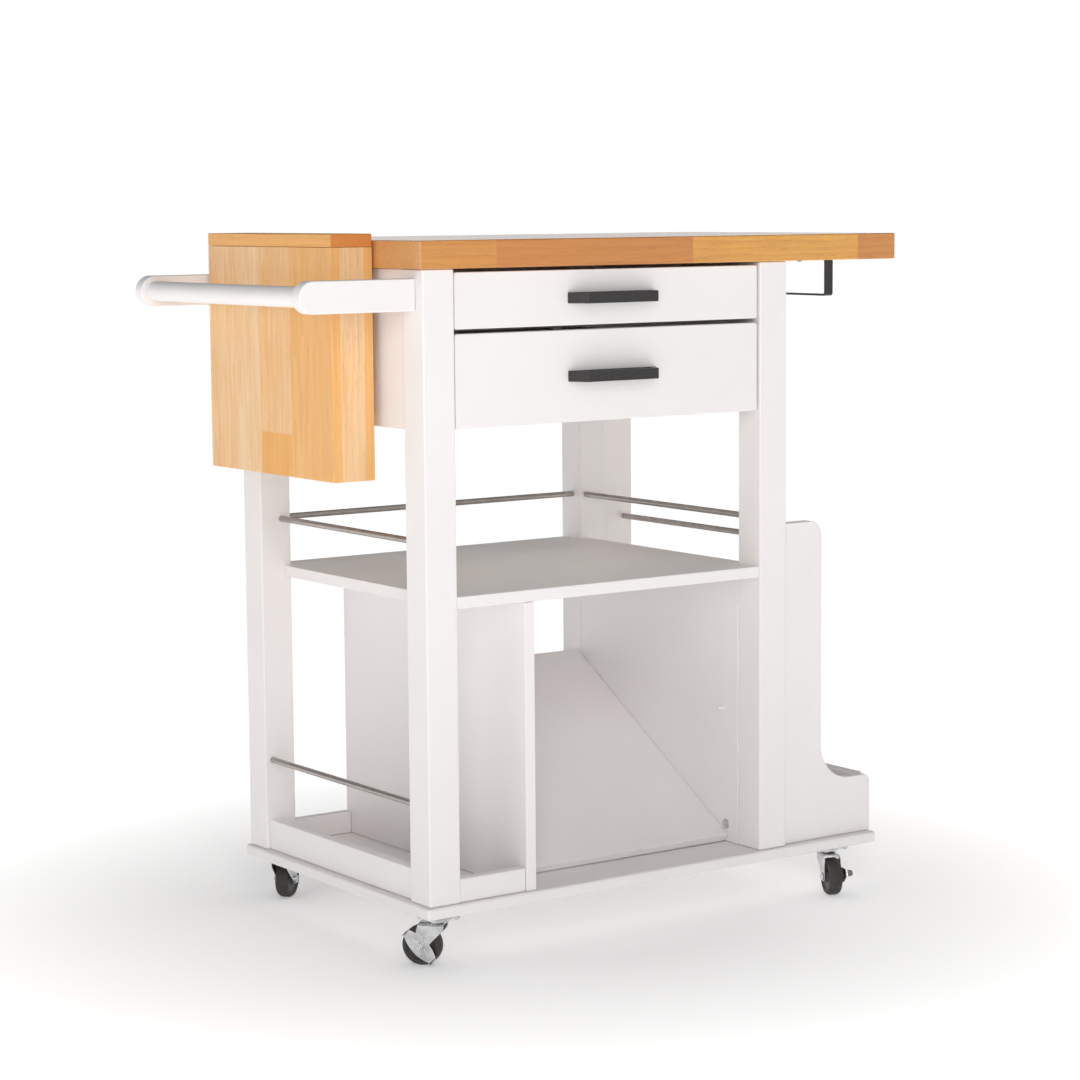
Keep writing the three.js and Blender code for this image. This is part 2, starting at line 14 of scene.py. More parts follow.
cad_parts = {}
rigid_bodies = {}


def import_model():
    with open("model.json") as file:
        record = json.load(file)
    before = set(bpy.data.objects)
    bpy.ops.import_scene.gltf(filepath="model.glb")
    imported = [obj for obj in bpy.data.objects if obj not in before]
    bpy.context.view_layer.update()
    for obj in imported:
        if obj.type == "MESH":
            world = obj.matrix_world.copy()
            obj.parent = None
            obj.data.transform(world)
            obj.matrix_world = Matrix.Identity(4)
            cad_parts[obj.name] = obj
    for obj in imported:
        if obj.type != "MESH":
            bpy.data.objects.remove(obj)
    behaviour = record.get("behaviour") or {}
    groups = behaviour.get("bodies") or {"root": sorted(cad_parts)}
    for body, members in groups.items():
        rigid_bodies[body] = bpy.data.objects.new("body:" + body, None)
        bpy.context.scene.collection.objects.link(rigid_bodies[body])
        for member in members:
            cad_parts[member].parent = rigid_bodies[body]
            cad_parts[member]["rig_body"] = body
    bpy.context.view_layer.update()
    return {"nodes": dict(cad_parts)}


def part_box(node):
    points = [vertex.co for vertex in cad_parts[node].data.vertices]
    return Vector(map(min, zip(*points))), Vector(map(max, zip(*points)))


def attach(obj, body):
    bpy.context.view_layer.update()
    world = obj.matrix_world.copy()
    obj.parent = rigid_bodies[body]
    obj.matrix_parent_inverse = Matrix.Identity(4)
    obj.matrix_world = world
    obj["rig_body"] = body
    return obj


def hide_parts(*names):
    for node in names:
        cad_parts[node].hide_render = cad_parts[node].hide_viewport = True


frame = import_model()

# %% [markdown]
# ## Workshop coordinates
# Boards are easiest to set out in millimetres from the base board's front left corner. One function
# turns those into the frame's metres, and another reads a solid's corners back in millimetres.

# %% Coordinates
MM = 0.001
ORIGIN = np.array([298.0, 218.0, 0.0])
AXES = np.eye(3)
FROM_FRONT = [AXES[0], AXES[2], AXES[1]]


def to_frame(points):
    """Workshop millimetres to frame metres: take the origin away, then scale."""
    return (np.asarray(points, float) - ORIGIN) * MM


def corners_of(node):
    """Lowest and highest corner of a solid, in workshop millimetres."""
    low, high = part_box(node)
    return np.array(low) / MM + ORIGIN, np.array(high) / MM + ORIGIN


print("worktop corners:", [np.round(c) for c in corners_of("worktop")])

# %% [markdown]
# ## Outlines with rounded corners
# Nearly every board, bracket and strip starts as a flat outline. Sharp corners look like paper, so
# each corner becomes an arc. Working out the arc together with its outward direction means that the
# shading is exact, and that the outline can be inset later for eased edges.


# %% Rounded outlines
def corner_arcs(corners, radii, steps=5):
    """Arcs for the corners of a closed counter-clockwise outline.

    The two edges at a corner have outward normals n1 and n2. The arc's centre is the corner moved
    by r (n1 + n2) / (1 + n1.n2), inwards at a convex corner and outwards at a hollow one. A point
    is the centre plus or minus r times a normal that swings from n1 to n2.
    """
    corners = np.asarray(corners, float)
    radii = np.broadcast_to(np.asarray(radii, float), len(corners))[:, None]
    into = corners - np.roll(corners, 1, axis=0)
    into /= np.linalg.norm(into, axis=1, keepdims=True)
    away = np.roll(into, -1, axis=0)
    n1 = np.stack([into[:, 1], -into[:, 0]], 1)
    n2 = np.stack([away[:, 1], -away[:, 0]], 1)
    side = np.sign(into[:, 0] * away[:, 1] - into[:, 1] * away[:, 0])[:, None]
    centres = corners - side * radii * (n1 + n2) / (1 + (n1 * n2).sum(1, keepdims=True))
    start = np.arctan2(n1[:, 1], n1[:, 0])
    swing = np.arctan2(n2[:, 1], n2[:, 0]) - start
    swing = (swing + math.pi) % (2 * math.pi) - math.pi
    angles = start[:, None] + swing[:, None] * np.linspace(0, 1, steps)
    normals = np.stack([np.cos(angles), np.sin(angles)], -1)
    points = centres[:, None] + (side * radii)[:, None] * normals
    return points, normals


def rounded(corners, radii, steps=5):
    """The arcs of every corner as one closed run of points and outward normals."""
    points, normals = corner_arcs(corners, radii, steps)
    return points.reshape(-1, 2), normals.reshape(-1, 2)


def rectangle(width, height):
    """Corners of a rectangle from the origin, counter-clockwise."""
    return [(0, 0), (width, 0), (width, height), (0, height)]


print("points round a rounded square:", len(rounded(rectangle(10, 10), 2)[0]))

# %% [markdown]
# ## Skins
# A shape here is a stack of rings. Neighbouring rings are joined by four-sided faces and the two
# end rings are closed by flat caps, so every skin is closed and has an inside and an outside.


# %% Skins
EASE_STEPS = 4


def skin(rings, normals, closed=False):
    """One closed surface from rings of equal length: (vertices, normals, faces).

    Point j of ring i meets point j + 1 and the same two points of ring i + 1. A closed stack joins
    its last ring to its first, as on a tyre, and an open one gets two caps.
    """
    count, around = rings.shape[:2]
    index = np.arange(count * around).reshape(count, around)
    turned_on = np.roll(index, -1, axis=1)
    quads = np.stack([index, turned_on, np.roll(turned_on, -1, 0), np.roll(index, -1, 0)], -1)
    if not closed:
        quads = quads[:-1]
    faces = quads.reshape(-1, 4).tolist()
    if not closed:
        faces += [index[0][::-1].tolist(), index[-1].tolist()]
    return rings.reshape(-1, 3), normals.reshape(-1, 3), faces


def plate(outline, thickness, ease, axes, origin):
    """A flat plate with eased edges.

    The outline is inset by ease (1 - cos t) where the depth from a face is ease (1 - sin t), so the
    edge is a quarter round. Axes are the outline's first and second direction and the thickness's.
    """
    points, normals = outline
    axes = np.asarray(axes, float)
    if np.linalg.det(axes) < 0:
        points, normals = points[::-1], normals[::-1]
    t = np.linspace(0, math.pi / 2, EASE_STEPS)
    inset = ease * (1 - np.cos(t))
    depth = ease * (1 - np.sin(t))
    insets = np.concatenate([inset[::-1], inset])[:, None, None]
    heights = np.concatenate([depth[::-1], thickness - depth])[:, None, None]
    tilt = np.concatenate([-np.sin(t)[::-1], np.sin(t)])[:, None, None]
    flat = points - insets * normals
    rings = np.concatenate([flat, np.broadcast_to(heights, flat.shape[:2] + (1,))], -1)
    lean = np.sqrt(1 - tilt**2) * normals
    lean = np.concatenate([lean, np.broadcast_to(tilt, flat.shape[:2] + (1,))], -1)
    return skin(rings @ axes + np.asarray(origin, float), lean @ axes)


def board(low, high, ease=1.5):
    """A rectangular board between two corners, with all edges eased."""
    low, high = np.asarray(low, float), np.asarray(high, float)
    size = high - low
    outline = rounded(rectangle(size[0], size[1]), ease * 1.2)
    return plate(outline, size[2], ease, AXES, low)


def turned(profile, axes, origin, around=48, closed=False):
    """A turned part: the profile of radius and height is carried round the third axis.

    A point is radius times (cos a, sin a) and its height.
    """
    points, normals = profile
    angle = np.linspace(0, 2 * math.pi, around, endpoint=False)
    spin = np.stack([np.cos(angle), np.sin(angle)], 1)

    def carried(pairs):
        """Each (radius, height) pair as a ring of (radius cos a, radius sin a, height)."""
        wide = pairs[:, None, :1] * spin
        tall = np.broadcast_to(pairs[:, None, 1:], wide.shape[:2] + (1,))
        return np.concatenate([wide, tall], -1)

    axes = np.asarray(axes, float)
    return skin(carried(points) @ axes + np.asarray(origin, float), carried(normals) @ axes, closed)


def spindle(steps_up, radii):
    """A solid profile from bottom to top: corners of (radius, height), each rounded by its radius."""
    corners = [(0, steps_up[0][1]), *steps_up, (0, steps_up[-1][1])]
    points, normals = corner_arcs(corners, np.array([0, *np.broadcast_to(radii, len(steps_up)), 0]))
    return points[1:-1].reshape(-1, 2), normals[1:-1].reshape(-1, 2)


def shifted(shape, turn, move):
    """A shape turned by a matrix of row directions and then moved."""
    points, normals, faces = shape
    return points @ turn + np.asarray(move, float), normals @ turn, faces


print("board vertices:", len(board((0, 0, 0), (10, 20, 30))[0]))

# %% [markdown]
# ## Pieces
# A piece is one or more skins in one object. It rides on the body that its solid belongs to and
# stands in that solid's place. The normals worked out above go in as they are.


# %% Making a piece
def piece(name, shapes, finish, stands_for=(), body=None, marks=None):
    """One object from several skins, with its place in its mesh, riding on a body."""
    starts = np.cumsum([0] + [len(shape[0]) for shape in shapes])
    points = np.concatenate([shape[0] for shape in shapes])
    normals = np.concatenate([shape[1] for shape in shapes])
    faces = [[i + start for i in face] for shape, start in zip(shapes, starts) for face in shape[2]]
    mesh = bpy.data.meshes.new(name)
    mesh.from_pydata(to_frame(points), [], faces)
    mesh.polygons.foreach_set("use_smooth", np.ones(len(faces), bool))
    mesh.normals_split_custom_set_from_vertices(normals)
    for mark, values in (marks or {}).items():
        spread = np.repeat(values, np.diff(starts), axis=0)
        kind = "FLOAT_VECTOR" if spread.ndim == 2 else "FLOAT"
        layer = mesh.attributes.new(mark, kind, "POINT")
        layer.data.foreach_set("vector" if spread.ndim == 2 else "value", spread.ravel().astype("f"))
    mesh.materials.append(finish)
    made = bpy.data.objects.new(name, mesh)
    bpy.context.scene.collection.objects.link(made)
    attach(made, body or frame["nodes"][stands_for[0]]["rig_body"])
    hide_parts(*stands_for)


print("meshes so far:", len(bpy.data.meshes))


# %% [markdown]
# ## Finishes
# Every finish reads Object coordinates in metres, so a pattern keeps its real size on every piece.
# A small helper adds a node and fills its sockets, and a second one a noise of a given grain.


# %% Node helpers
def new_finish(name, color, roughness, metallic=0.0, coat=0.0):
    """A material with a Principled shader, and the coordinates its patterns read."""
    material = bpy.data.materials.new(name)
    material.use_nodes = True
    shader = material.node_tree.nodes["Principled BSDF"]
    shader.inputs["Base Color"].default_value = (*color, 1)
    shader.inputs["Roughness"].default_value = roughness
    shader.inputs["Metallic"].default_value = metallic
    shader.inputs["Coat Weight"].default_value = coat
    shader.inputs["Coat Roughness"].default_value = 0.12
    material.diffuse_color = (*color, 1)
    place = material.node_tree.nodes.new("ShaderNodeTexCoord").outputs["Object"]
    return material, shader, place


def add(material, kind, inputs, **settings):
    """A node with its settings made, and each input linked to a socket or given a value."""
    made = material.node_tree.nodes.new("ShaderNode" + kind)
    for key, value in settings.items():
        setattr(made, key, value)
    for key, value in inputs.items():
        if isinstance(value, bpy.types.NodeSocket):
            material.node_tree.links.new(value, made.inputs[key])
        else:
            made.inputs[key].default_value = value
    return made


def stretched(material, place, scale):
    """Coordinates scaled apart along X, Y and Z, in repeats per metre."""
    return add(material, "Mapping", {"Vector": place, "Scale": scale}).outputs["Vector"]


def noise(material, place, scale, detail=3.0, roughness=0.5):
    """A noise of 0 to 1 with about scale repeats per unit of its coordinates."""
    settings = {"Vector": place, "Scale": scale, "Detail": detail, "Roughness": roughness}
    return add(material, "TexNoise", settings).outputs["Fac"]


def ranged(material, value, low, high, start=0.3, end=0.7):
    """Value spread from start..end onto low..high."""
    sockets = {"Value": value, "From Min": start, "From Max": end, "To Min": low, "To Max": high}
    return add(material, "MapRange", sockets).outputs["Result"]


def blended(material, factor, one, two):
    """Two colours mixed by a factor."""
    made = add(material, "Mix", {}, data_type="RGBA")
    for socket, value in zip((made.inputs[0], made.inputs[6], made.inputs[7]), (factor, one, two)):
        if isinstance(value, bpy.types.NodeSocket):
            material.node_tree.links.new(value, socket)
        else:
            socket.default_value = value if isinstance(value, float) else (*value, 1)
    return made.outputs[2]


def connect(material, output, shader, socket):
    """Link an output to one of the shader's own sockets."""
    material.node_tree.links.new(output, shader.inputs[socket])


def relief(material, shader, height, depth, strength):
    """A bump of so many metres from a height of 0 to 1."""
    made = add(material, "Bump", {"Height": height, "Distance": depth, "Strength": strength})
    connect(material, made.outputs["Normal"], shader, "Normal")


print("materials so far:", len(bpy.data.materials))


# %% [markdown]
# ### Painted boards
# The boards are sprayed with satin white lacquer. Sprayed paint is never flat: it has a faint orange
# peel, its gloss drifts where the spray overlapped, and handling leaves it a little duller.


# %% Lacquer
def make_lacquer(name, color, shade, roughness):
    """Satin paint that drifts from color to shade, with smeared gloss and a faint orange peel."""
    material, shader, place = new_finish(name, color, roughness)
    drift = noise(material, place, 7.0, 4.0)
    mixed = blended(material, ranged(material, drift, 0.0, 1.0), color, shade)
    connect(material, mixed, shader, "Base Color")
    smears = noise(material, stretched(material, place, (18, 18, 40)), 1.0, 5.0, 0.6)
    connect(material, ranged(material, smears, roughness - 0.07, roughness + 0.09), shader, "Roughness")
    peel = noise(material, place, 420.0, 2.0)
    relief(material, shader, peel, 0.00005, 0.5)
    return material


lacquer = make_lacquer("white_lacquer", (0.9, 0.87, 0.862), (0.88, 0.845, 0.836), 0.4)
drawer_foil = make_lacquer("drawer_foil", (0.8, 0.77, 0.72), (0.75, 0.72, 0.66), 0.55)
print("lacquers made")

# %% [markdown]
# ### Wood in staves
# The worktop and the knife block are glued from staves of pale rubberwood. Each stave comes from
# another tree, so it has a tint of its own and its own stretch of grain. Both are written on the
# stave's vertices, and the material reads them: growth rings round a far centre, long streaks of
# fibre, and short dark pores along the grain. Cut ends soak up more oil, so faces across the grain
# take a colour of their own.


# %% Stave wood
def make_wood(name, grain, pale, middle, dark, end, roughness, depth, coat):
    """Wood whose fibres run along axis number grain, with grain of a given depth of colour."""
    material, shader, place = new_finish(name, middle, roughness, coat=coat)
    turn = [(0, 0, 0), (0, 0, math.pi / 2), (0, math.pi / 2, 0)][grain]
    offset = add(material, "Attribute", {}, attribute_name="stave_offset").outputs["Vector"]
    tint = add(material, "Attribute", {}, attribute_name="stave_tint").outputs["Fac"]
    moved = add(material, "VectorMath", {0: place, 1: offset}, operation="ADD").outputs["Vector"]
    along = add(material, "Mapping", {"Vector": moved, "Rotation": turn}).outputs["Vector"]
    bend = noise(material, stretched(material, along, (3, 14, 14)), 1.0, 3.0)
    rings = add(
        material,
        "TexWave",
        {
            "Vector": stretched(material, along, (0.12, 1, 1)),
            "Scale": 34.0,
            "Distortion": 5.0,
            "Detail": 3.0,
            "Detail Scale": 2.5,
        },
        wave_type="RINGS",
        rings_direction="X",
        wave_profile="SAW",
    ).outputs["Fac"]
    fibre = noise(material, stretched(material, along, (9, 260, 260)), 1.0, 5.0, 0.65)
    pores = noise(material, stretched(material, along, (55, 620, 620)), 1.0, 2.0)
    blotch = noise(material, stretched(material, along, (14, 40, 40)), 1.0, 4.0, 0.6)
    base = blended(material, tint, pale, middle)
    base = blended(material, ranged(material, bend, 0.0, 0.9 * depth), base, middle)
    base = blended(material, ranged(material, blotch, 0.0, depth, 0.35, 0.75), base, middle)
    base = blended(material, ranged(material, rings, 0.0, 0.55 * depth, 0.0, 1.0), base, dark)
    base = blended(material, ranged(material, fibre, 0.0, 0.8 * depth, 0.45, 0.8), base, dark)
    base = blended(material, ranged(material, pores, 0.0, depth, 0.62, 0.72), base, dark)
    facing = place.node.outputs["Normal"]
    ends = add(material, "VectorMath", {0: facing, 1: tuple(AXES[grain])}, operation="DOT_PRODUCT")
    ends = add(material, "Math", {0: ends.outputs["Value"]}, operation="ABSOLUTE").outputs["Value"]
    base = blended(material, ranged(material, ends, 0.0, 0.75, 0.5, 0.9), base, end)
    connect(material, base, shader, "Base Color")
    connect(material, ranged(material, fibre, roughness - 0.05, roughness + 0.12), shader, "Roughness")
    relief(material, shader, fibre, 0.00008, 0.6)
    return material


worktop_wood = make_wood(
    "worktop_wood",
    0,
    (0.84, 0.43, 0.07),
    (0.6, 0.21, 0.038),
    (0.36, 0.11, 0.02),
    (0.74, 0.37, 0.15),
    0.2,
    0.4,
    0.5,
)
block_wood = make_wood(
    "block_wood",
    2,
    (0.94, 0.7, 0.44),
    (0.9, 0.45, 0.11),
    (0.66, 0.27, 0.06),
    (0.8, 0.4, 0.12),
    0.4,
    0.4,
    0.0,
)
cap_wood = make_wood(
    "cap_wood",
    1,
    (0.94, 0.6, 0.28),
    (0.94, 0.46, 0.11),
    (0.66, 0.27, 0.06),
    (0.66, 0.19, 0.035),
    0.4,
    0.4,
    0.0,
)
print("woods made")

# %% [markdown]
# ### Metals, plastics and rubber
# The rods are ground, so their scratches run round them and their gloss is broken in bands. Zinc is
# brighter and cloudy. Black powder coat has a fine grit, and the wheels are dull and dusty.


# %% Metals
def make_metal(name, color, shade, roughness, scale, stretch, metallic=1.0, grit=0.00002):
    """A finish clouded from color to shade, with scratches or grit in its gloss and its height."""
    material, shader, place = new_finish(name, color, roughness, metallic)
    clouds = noise(material, place, 60.0, 4.0)
    mixed = blended(material, ranged(material, clouds, 0.0, 1.0), color, shade)
    connect(material, mixed, shader, "Base Color")
    lines = noise(material, stretched(material, place, stretch), scale, 3.0, 0.6)
    connect(material, ranged(material, lines, roughness - 0.08, roughness + 0.12), shader, "Roughness")
    relief(material, shader, lines, grit, 0.6)
    return material


rod_steel_along_y = make_metal(
    "rod_steel_along_y", (0.5, 0.455, 0.435), (0.42, 0.38, 0.36), 0.38, 1.0, (60, 1800, 60)
)
rod_steel_along_x = make_metal(
    "rod_steel_along_x", (0.5, 0.455, 0.435), (0.42, 0.38, 0.36), 0.38, 1.0, (1800, 60, 60)
)
black_coat = make_metal(
    "black_coat", (0.014, 0.0125, 0.012), (0.022, 0.02, 0.019), 0.3, 900.0, (1, 1, 1), 0.0, 0.00002
)
zinc = make_metal("zinc", (0.76, 0.77, 0.79), (0.5, 0.5, 0.5), 0.2, 90.0, (1, 1, 1))
slide_steel = make_metal(
    "slide_steel", (0.6, 0.6, 0.59), (0.5, 0.5, 0.49), 0.34, 1.0, (900, 20, 900)
)
tread_rubber = make_metal(
    "tread_rubber", (0.028, 0.024, 0.022), (0.055, 0.048, 0.043), 0.62, 300.0, (1, 1, 1), 0.0, 0.0001
)
hub_plastic = make_metal(
    "hub_plastic", (0.035, 0.035, 0.034), (0.05, 0.05, 0.048), 0.42, 500.0, (1, 1, 1), 0.0, 0.00003
)
print("finishes:", len(bpy.data.materials))

# %% [markdown]
# ## Square boards
# Legs, panels, lips and aprons are plain rectangular boards in the real cart. What makes them look
# made is the eased edge, a quarter round where sandpaper broke the corner. The drawer fronts also
# have softly rounded corners, so their outline is drawn from the front.

# %% Legs, panels and fronts
SQUARE_BOARDS = {
    "leg_front_left": 2.0,
    "leg_front_right": 2.0,
    "leg_back_left": 2.0,
    "leg_back_right": 2.0,
    "base_board": 3.0,
    "divider": 1.2,
    "right_panel": 1.2,
    "apron_left": 1.2,
    "apron_right": 1.2,
    "apron_back": 1.2,
    "lip_left": 1.8,
    "lip_front": 1.8,
    "lip_back": 1.8,
    "rack_outer_board": 2.0,
}
for node, ease in SQUARE_BOARDS.items():
    shape = board(*corners_of(node), ease)
    piece(node + "_finished", [shape], lacquer, [node])
for node in ("drawer_front_upper", "drawer_front_lower"):
    low, high = corners_of(node)
    outline = rounded(rectangle(high[0] - low[0], high[2] - low[2]), 3.0, 7)
    shape = plate(outline, high[1] - low[1], 1.3, FROM_FRONT, low)
    piece(node + "_finished", [shape], lacquer, [node])
print("square boards:", len(SQUARE_BOARDS))

# %% [markdown]
# ## Shelf and slanted board
# The shelf is one board notched round the four legs. The slanted board is an ordinary board tipped
# up about its lower front edge.

# %% Shelf
shelf_low, shelf_high = corners_of("middle_shelf")
leg_left = corners_of("leg_front_left")
leg_right = corners_of("leg_back_right")
GAP = 0.3
notch_left = leg_left[1][0] + GAP
notch_right = leg_right[0][0] - GAP
notch_front = leg_left[1][1] + GAP
notch_back = leg_right[0][1] - GAP
shelf_outline = rounded(
    [
        (notch_left, shelf_low[1]),
        (notch_right, shelf_low[1]),
        (notch_right, notch_front),
        (shelf_high[0], notch_front),
        (shelf_high[0], notch_back),
        (notch_right, notch_back),
        (notch_right, shelf_high[1]),
        (notch_left, shelf_high[1]),
        (notch_left, notch_back),
        (shelf_low[0], notch_back),
        (shelf_low[0], notch_front),
        (notch_left, notch_front),
    ],
    1.4,
)
shelf = plate(shelf_outline, shelf_high[2] - shelf_low[2], 1.2, AXES, (0, 0, shelf_low[2]))
piece("middle_shelf_finished", [shelf], lacquer, ["middle_shelf"])
print("shelf outline points:", len(shelf_outline[0]))

# %% Slanted board
SLANT_ANGLE = math.radians(31.5)
SLANT_LENGTH = 400.0
SLANT_THICKNESS = 12.0
slant_low, slant_high = corners_of("slanted_board")
uphill = np.array([0, math.cos(SLANT_ANGLE), math.sin(SLANT_ANGLE)])
outwards = np.array([0, -math.sin(SLANT_ANGLE), math.cos(SLANT_ANGLE)])
slant_foot = (slant_low[0], slant_low[1] + SLANT_THICKNESS * math.sin(SLANT_ANGLE), slant_low[2])
slanted = plate(
    rounded(rectangle(slant_high[0] - slant_low[0], SLANT_LENGTH), 1.4),
    SLANT_THICKNESS,
    1.2,
    [AXES[0], uphill, outwards],
    slant_foot,
)
piece("slanted_board_finished", [slanted], lacquer, ["slanted_board"])
print("slanted board length:", SLANT_LENGTH)

# %% [markdown]
# ## Rack cheeks
# Each cheek sweeps out in a hollow quarter round to a low foot. The sweep is an arc of its outline,
# so the eased edge follows it all the way round.

# %% Rack cheeks
CHEEK_WIDTH = 68.5
FOOT_TOP = 156.5
FOOT_RADIUS = 11.0
SWEEP = 50.0
for node, top_radius in (("cheek_front", 21.0), ("cheek_back", 1.6)):
    low, high = corners_of(node)
    waist = low[0] + CHEEK_WIDTH - GAP
    outline = rounded(
        [
            (low[0], low[2]),
            (high[0], low[2]),
            (high[0], FOOT_TOP),
            (waist, FOOT_TOP),
            (waist, high[2]),
            (low[0], high[2]),
        ],
        [1.6, 1.6, FOOT_RADIUS, SWEEP, top_radius, 1.6],
        12,
    )
    cheek = plate(outline, high[1] - low[1], 1.4, FROM_FRONT, (0, low[1], 0))
    piece(node + "_finished", [cheek], lacquer, [node])
print("cheeks made")

# %% [markdown]
# ## Push handle
# Two flat arms with full round ends carry a turned bar. The arms are outlines given a thickness, and
# the bar is a profile carried round its axis, so its ends get a real rounded edge.

# %% Handle
for node in ("handle_arm_front", "handle_arm_back"):
    low, high = corners_of(node)
    height = high[2] - low[2]
    outline = rounded(
        [(low[0], low[2]), (high[0], low[2]), (high[0], high[2]), (low[0], high[2])],
        [height / 2 - 0.05, 1.8, 1.8, height / 2 - 0.05],
        14,
    )
    arm = plate(outline, high[1] - low[1], 1.8, FROM_FRONT, (0, low[1], 0))
    piece(node + "_finished", [arm], lacquer, [node])

bar_low, bar_high = corners_of("handle_bar")
bar_radius = (bar_high[0] - bar_low[0]) / 2
bar_centre = (bar_low + bar_high) / 2
ALONG_Y = [AXES[2], AXES[0], AXES[1]]
ALONG_X = [AXES[1], AXES[2], AXES[0]]
bar_profile = spindle([(bar_radius, bar_low[1]), (bar_radius, bar_high[1])], 0.8)
bar = turned(bar_profile, ALONG_Y, (bar_centre[0], 0, bar_centre[2]), 64)
piece("handle_bar_finished", [bar], lacquer, ["handle_bar"])
print("bar radius:", round(bar_radius, 2))

# %% [markdown]
# ## Worktop staves
# A butcher block is glued from rows of finger-jointed staves. Building every stave, instead of
# drawing the joints on one slab, gives each joint its hairline and each end its end grain. The
# finished slab is then sanded: whatever sticks out past a rounded box is drawn back onto it.


# %% Staves
STAVE_EASE = 0.15
STAVE_STEPS = np.array([0.0, 0.15, 0.62, 1.5])


def sanded(shape, low, high, radius):
    """Push a shape inside a rounded box.

    A point's nearest point on the box shrunk by the radius is its core. If it lies further from
    the core than the radius, it moves to the radius, and its normal turns to that direction.
    """
    points, normals, faces = shape
    core = np.clip(points, np.asarray(low) + radius, np.asarray(high) - radius)
    out = points - core
    reach = np.linalg.norm(out, axis=1, keepdims=True)
    outside = reach > radius + 1e-6
    direction = out / np.maximum(reach, 1e-9)
    points = np.where(outside, core + direction * radius, points)
    return points, np.where(outside, direction, normals), faces


def stave(low, high):
    """A closed block of grid points with fine lines beside every edge, sanded to a tight round.

    The points are coded by their three line numbers, so points that two sides share are one point.
    """
    low, high = np.asarray(low, float), np.asarray(high, float)
    lines = [np.concatenate([low[k] + STAVE_STEPS, high[k] - STAVE_STEPS[::-1]]) for k in range(3)]
    count = len(lines[0])
    sides = []
    for axis in range(3):
        for end in (0, count - 1):
            grid = np.full((count, count, 3), end)
            grid[..., (axis + 1) % 3] = np.arange(count)[:, None]
            grid[..., (axis + 2) % 3] = np.arange(count)
            code = grid @ (count**2, count, 1)
            quads = np.stack([code[:-1, :-1], code[1:, :-1], code[1:, 1:], code[:-1, 1:]], -1)
            quads = quads.reshape(-1, 4)
            sides.append(quads if end else quads[:, ::-1])
    codes, faces = np.unique(np.concatenate(sides), return_inverse=True)
    spots = (codes // count**2, codes // count % count, codes % count)
    points = np.stack([lines[k][spots[k]] for k in range(3)], 1)
    core = np.clip(points, low + STAVE_EASE, high - STAVE_EASE)
    normals = (points - core) / np.linalg.norm(points - core, axis=1, keepdims=True)
    return core + STAVE_EASE * normals, normals, faces.reshape(-1, 4).tolist()


draw = np.random.default_rng(7)
top_low, top_high = corners_of("worktop")
ROWS = 11
FRONT_JOINTS = [109.0, 410.0, 686.0]
FRONT_TINTS = [0.5, 0.85, 0.0, 0.7]
row_lines = np.linspace(top_low[1], top_high[1], ROWS + 1)
top_shapes = []
top_tints = []
for row in range(ROWS):
    joints = FRONT_JOINTS
    tints = FRONT_TINTS
    if row:
        joints = draw.uniform(40, 260) + 285.0 * np.arange(3) + draw.uniform(-25, 25, 3)
        joints = [x for x in joints if x < top_high[0] - 25]
        tints = draw.uniform(0, 1, len(joints) + 1)
    ends = [top_low[0], *joints, top_high[0]]
    for start, end, tint in zip(ends[:-1], ends[1:], tints):
        shape = stave((start, row_lines[row], top_low[2]), (end, row_lines[row + 1], top_high[2]))
        top_shapes.append(sanded(shape, top_low, top_high, 1.5))
        top_tints.append(tint)
top_marks = {
    "stave_tint": np.array(top_tints),
    "stave_offset": draw.uniform(-1, 1, (len(top_shapes), 3)) * (3.0, 0.09, 0.09),
}
piece("worktop_staves", top_shapes, worktop_wood, ["worktop"], marks=top_marks)
print("worktop staves:", len(top_shapes))

# %% [markdown]
# ## Knife block
# The block is a box of upright staves with a slotted cap. Its long sides are glued from several
# widths, one of them from two lengths, and the cap is framed round the slots.

# %% Knife block
block_low, block_high = corners_of("knife_block")
cap_low, cap_high = corners_of("knife_block_cap")
block_low[0], block_high[0] = cap_low[0], cap_high[0]
WALL = 12.0
LOWER_JOINT = 648.0
STAVE_LINES = [block_low[1], 202.0, 277.0, 335.0, block_high[1]]
BLOCK_TINTS = [0.7, 0.35, 0.0, 0.2]
LOWER_STAVE_TINT = 0.65
END_WALL_TINT, FLOOR_TINT, SPACER_TINT = 0.15, 0.5, 0.4
SPACER_HEIGHTS, SPACER_WIDTH = (690.0, 800.0), 30.0
SPACER_FRONT, SPACER_BACK, GLUE_DEPTH = 143.0, 363.0, 0.5
walls = []
wall_tints = []
for left in (block_low[0], block_high[0] - WALL):
    for number, (start, end) in enumerate(zip(STAVE_LINES[:-1], STAVE_LINES[1:])):
        cuts = [block_low[2], *([LOWER_JOINT] if number == 1 else []), block_high[2]]
        for step, (under, over) in enumerate(zip(cuts[:-1], cuts[1:])):
            walls.append(stave((left, start, under), (left + WALL, end, over)))
            lower_stave = number == 1 and step == 0
            wall_tints.append(BLOCK_TINTS[number] + (LOWER_STAVE_TINT if lower_stave else 0.0))
inner_left = block_low[0] + WALL
inner_right = block_high[0] - WALL
for front in (block_low[1], block_high[1] - WALL):
    walls.append(stave((inner_left, front, block_low[2]), (inner_right, front + WALL, block_high[2])))
    wall_tints.append(END_WALL_TINT)
floor_low = (inner_left, block_low[1] + WALL, block_low[2])
walls.append(stave(floor_low, (inner_right, block_high[1] - WALL, block_low[2] + WALL)))
wall_tints.append(FLOOR_TINT)
walls = [sanded(shape, block_low, block_high + (0, 0, 5), 1.2) for shape in walls]
strip_right = corners_of("knife_block")[1][0]
for height in SPACER_HEIGHTS:
    spacer_low = (block_high[0] - GLUE_DEPTH, SPACER_FRONT, height)
    walls.append(board(spacer_low, (strip_right, SPACER_BACK, height + SPACER_WIDTH), 1.0))
    wall_tints.append(SPACER_TINT)
